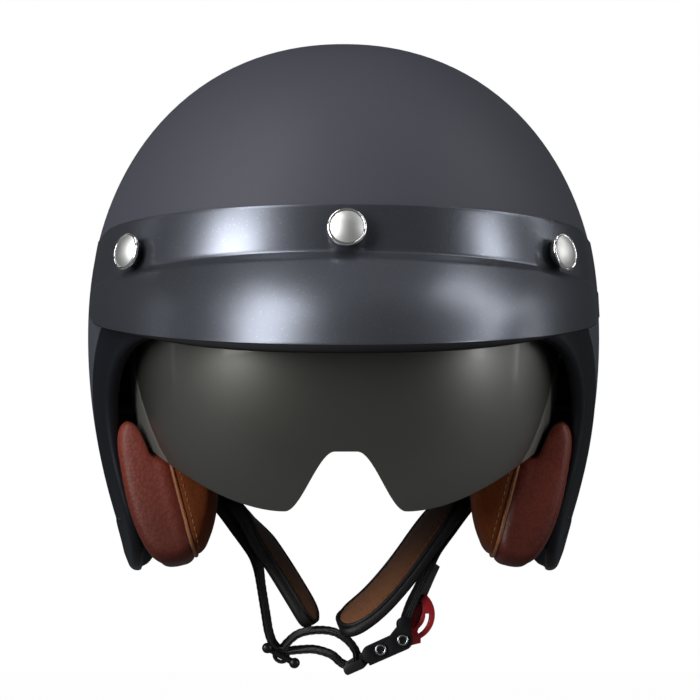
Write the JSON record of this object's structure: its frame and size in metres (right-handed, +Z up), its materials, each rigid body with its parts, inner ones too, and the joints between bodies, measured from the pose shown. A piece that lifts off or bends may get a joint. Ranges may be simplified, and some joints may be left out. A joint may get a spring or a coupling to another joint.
{
  "type": "open-face scooter helmet",
  "caption": "Open-face scooter helmet with a peak held by three press studs, an internal drop-down smoked sun visor, padded cheeks and a ratchet-buckle chin strap.",
  "frame": {"origin": "where the crown of the wearer's head meets the crown pad, on the middle plane", "axes": "+Z up out of the crown, -Y the way the face looks, +X to the wearer's left"},
  "size_m": [0.248, 0.3146, 0.3052],
  "materials": {
    "matt_shell_paint": "matt charcoal lacquer over the moulded shell",
    "gloss_black_rubber": "smooth blue-black extruded edging",
    "black_foam": "moulded expanded foam, black",
    "brown_lining": "quilted brown lining cloth over foam",
    "brown_leather": "fine-grained red-brown leather",
    "black_lining": "black brushed lining over foam",
    "satin_peak_paint": "satin dark metallic paint with a fine flake on moulded plastic",
    "nickel": "nickel-plated brass",
    "black_plastic": "black moulded plastic",
    "satin_chrome": "satin chrome plate",
    "smoked_lens": "smoked scratch-resistant polycarbonate",
    "ivory_nylon": "natural nylon",
    "zinc_steel": "zinc-plated steel",
    "brass": "turned brass",
    "black_steel": "black-coated steel",
    "black_webbing": "black woven polyester webbing",
    "brown_suede": "brown suede with a black binding",
    "dark_steel": "dark nickel wire form",
    "red_plastic": "red moulded plastic"
  },
  "bodies": {
    "helmet": {"shell": "matt_shell_paint", "edge_trim": "gloss_black_rubber", "impact_liner": "black_foam", "crown_pad": "brown_lining", "brow_pad": "brown_leather", "neck_roll": "black_lining", "cheek_foam_left": "black_foam", "cheek_foam_right": "black_foam", "cheek_pad_left": "brown_leather", "cheek_pad_right": "brown_leather", "peak": "satin_peak_paint", "snap_studs": "nickel", "snap_sockets": "black_plastic", "snap_collars": "black_plastic", "snap_caps": "satin_chrome", "pivot_plate_left": "black_plastic", "pivot_plate_right": "black_plastic", "pivot_washers": "zinc_steel", "pivot_screws": "zinc_steel", "lever_guide": "black_plastic", "guide_cover": "black_plastic", "guide_screws": "zinc_steel", "cable_sheath": "black_plastic", "cable_wire": "zinc_steel", "anchor_plate_left": "zinc_steel", "anchor_plate_right": "zinc_steel", "anchor_rivets": "black_steel"},
    "sun_visor": {"sun_visor": "smoked_lens", "visor_bushes": "ivory_nylon", "cable_nipple": "brass"},
    "visor_lever": {"visor_lever": "black_plastic"},
    "chin_strap": {"strap_left": "black_webbing", "strap_right": "black_webbing", "strap_pad_left": "brown_suede", "strap_pad_right": "brown_suede", "strap_slider": "dark_steel", "strap_tail": "black_webbing", "ratchet_tongue": "black_plastic", "buckle_frame": "black_plastic", "buckle_pins": "zinc_steel", "lever_spring": "zinc_steel"},
    "release_lever": {"release_lever": "red_plastic"}
  },
  "joints": [
    {"name": "visor_hinge", "type": "hinge", "parent": "helmet", "child": "sun_visor", "pos_m": [0, -0.008, -0.107], "axis": [-1, 0, 0], "range_deg": [0, 44]},
    {"name": "lever_slide", "type": "slide", "parent": "helmet", "child": "visor_lever", "axis": [-0.3746, 0.9272, 0], "range_m": [0, 0.01]},
    {"name": "strap_swing", "type": "hinge", "parent": "helmet", "child": "chin_strap", "pos_m": [0, 0.006, -0.152], "axis": [1, 0, 0], "range_deg": [0, 30]},
    {"name": "buckle_release", "type": "hinge", "parent": "chin_strap", "child": "release_lever", "pos_m": [0.0282, 0.002, -0.2448], "axis": [0, 1, 0], "range_deg": [0, 35], "stiffness_Nm_per_rad": 0.02, "springref_deg": -20.05}
  ],
  "couplings": [
    {"joint": "lever_slide", "follows": "visor_hinge", "m_per_rad": 0.013}
  ]
}
